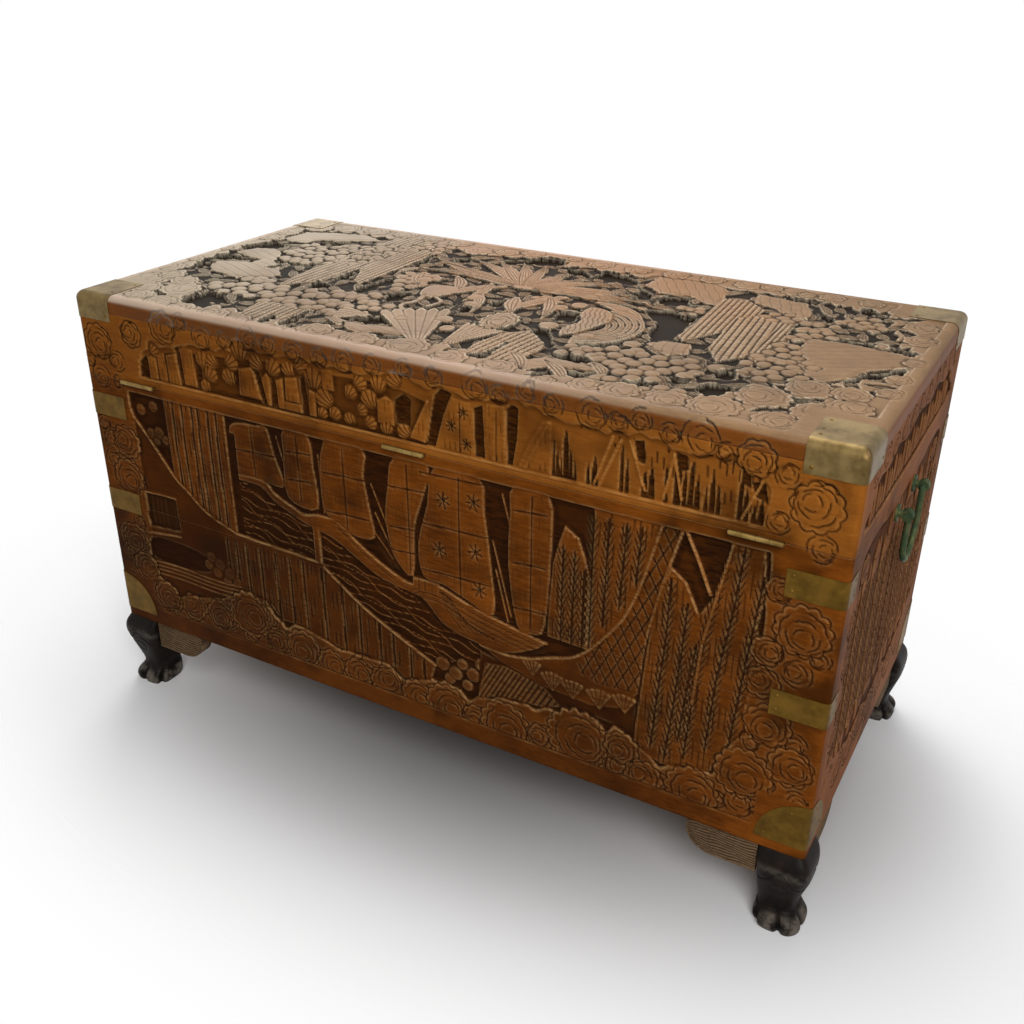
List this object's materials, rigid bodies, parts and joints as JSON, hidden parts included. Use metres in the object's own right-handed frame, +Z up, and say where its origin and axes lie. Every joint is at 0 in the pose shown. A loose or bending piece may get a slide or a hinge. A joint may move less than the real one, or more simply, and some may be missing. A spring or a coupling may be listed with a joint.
{
  "type": "carved camphor chest",
  "caption": "Carved camphor-wood storage chest with a deep hinged lid, brass corner plates, drop handles on the ends, a box lock and bracketed paw feet.",
  "frame": {"origin": "on the floor under the middle of the chest", "axes": "+X along the chest, front wall at -Y, hinges at +Y, +Z up"},
  "size_m": [1.037, 0.51, 0.5928],
  "materials": {
    "camphor": "carved, stained and varnished",
    "plain_camphor": "planed, unfinished",
    "foot_wood": "stained near black, worn",
    "bracket_wood": "carved, dull dark stain",
    "brass": "dull tarnished sheet",
    "hinge_brass": "worn bright on the knuckles",
    "handle_brass": "green verdigris over cast brass",
    "lock_brass": "plain sheet"
  },
  "bodies": {
    "carcase": {"front_plank_lower": "camphor", "front_plank_upper": "camphor", "back_plank_lower": "camphor", "back_plank_upper": "camphor", "end_board_left": "camphor", "end_board_right": "camphor", "bottom_plank_front": "plain_camphor", "bottom_plank_middle": "plain_camphor", "bottom_plank_back": "plain_camphor", "dust_lip_front": "plain_camphor", "dust_lip_left": "plain_camphor", "dust_lip_right": "plain_camphor", "foot_front_left": "foot_wood", "foot_brackets_front_left": "bracket_wood", "corner_straps_front_left": "brass", "base_corner_plate_front_left": "brass", "foot_front_right": "foot_wood", "foot_brackets_front_right": "bracket_wood", "corner_straps_front_right": "brass", "base_corner_plate_front_right": "brass", "foot_back_left": "foot_wood", "foot_brackets_back_left": "bracket_wood", "corner_straps_back_left": "brass", "base_corner_plate_back_left": "brass", "foot_back_right": "foot_wood", "foot_brackets_back_right": "bracket_wood", "corner_straps_back_right": "brass", "base_corner_plate_back_right": "brass", "hinge_left_body_leaf": "hinge_brass", "hinge_middle_body_leaf": "hinge_brass", "hinge_right_body_leaf": "hinge_brass", "hinge_pins": "hinge_brass", "hinge_screws_carcase": "hinge_brass", "brass_nails_carcase": "brass", "handle_posts_left": "handle_brass", "handle_posts_right": "handle_brass", "lock_case": "lock_brass", "keyhole_plate": "brass"},
    "lid": {"lid_rail_front": "camphor", "lid_rail_back": "camphor", "lid_rail_left": "camphor", "lid_rail_right": "camphor", "lid_plank_front": "camphor", "lid_plank_middle": "camphor", "lid_plank_back": "camphor", "lid_corner_cap_front_left": "brass", "lid_corner_cap_front_right": "brass", "lid_corner_cap_back_left": "brass", "lid_corner_cap_back_right": "brass", "hinge_left_lid_leaf": "hinge_brass", "hinge_middle_lid_leaf": "hinge_brass", "hinge_right_lid_leaf": "hinge_brass", "hinge_screws_lid": "hinge_brass", "brass_nails_lid": "brass", "lock_link_plate": "lock_brass"},
    "left_handle": {"handle_bail_left": "handle_brass"},
    "right_handle": {"handle_bail_right": "handle_brass"},
    "bolt": {"lock_bolt": "lock_brass"}
  },
  "joints": [
    {"name": "lid_hinge", "type": "hinge", "parent": "carcase", "child": "lid", "pos_m": [0, 0.2485, 0.4822], "axis": [-1, 0, 0], "range_deg": [0, 100]},
    {"name": "left_handle_swing", "type": "hinge", "parent": "carcase", "child": "left_handle", "pos_m": [-0.512, 0, 0.443], "axis": [0, 1, 0], "range_deg": [-5, 160]},
    {"name": "right_handle_swing", "type": "hinge", "parent": "carcase", "child": "right_handle", "pos_m": [0.512, 0, 0.443], "axis": [0, -1, 0], "range_deg": [-5, 160]},
    {"name": "bolt_slide", "type": "slide", "parent": "carcase", "child": "bolt", "axis": [1, 0, 0], "range_m": [0, 0.006]}
  ]
}
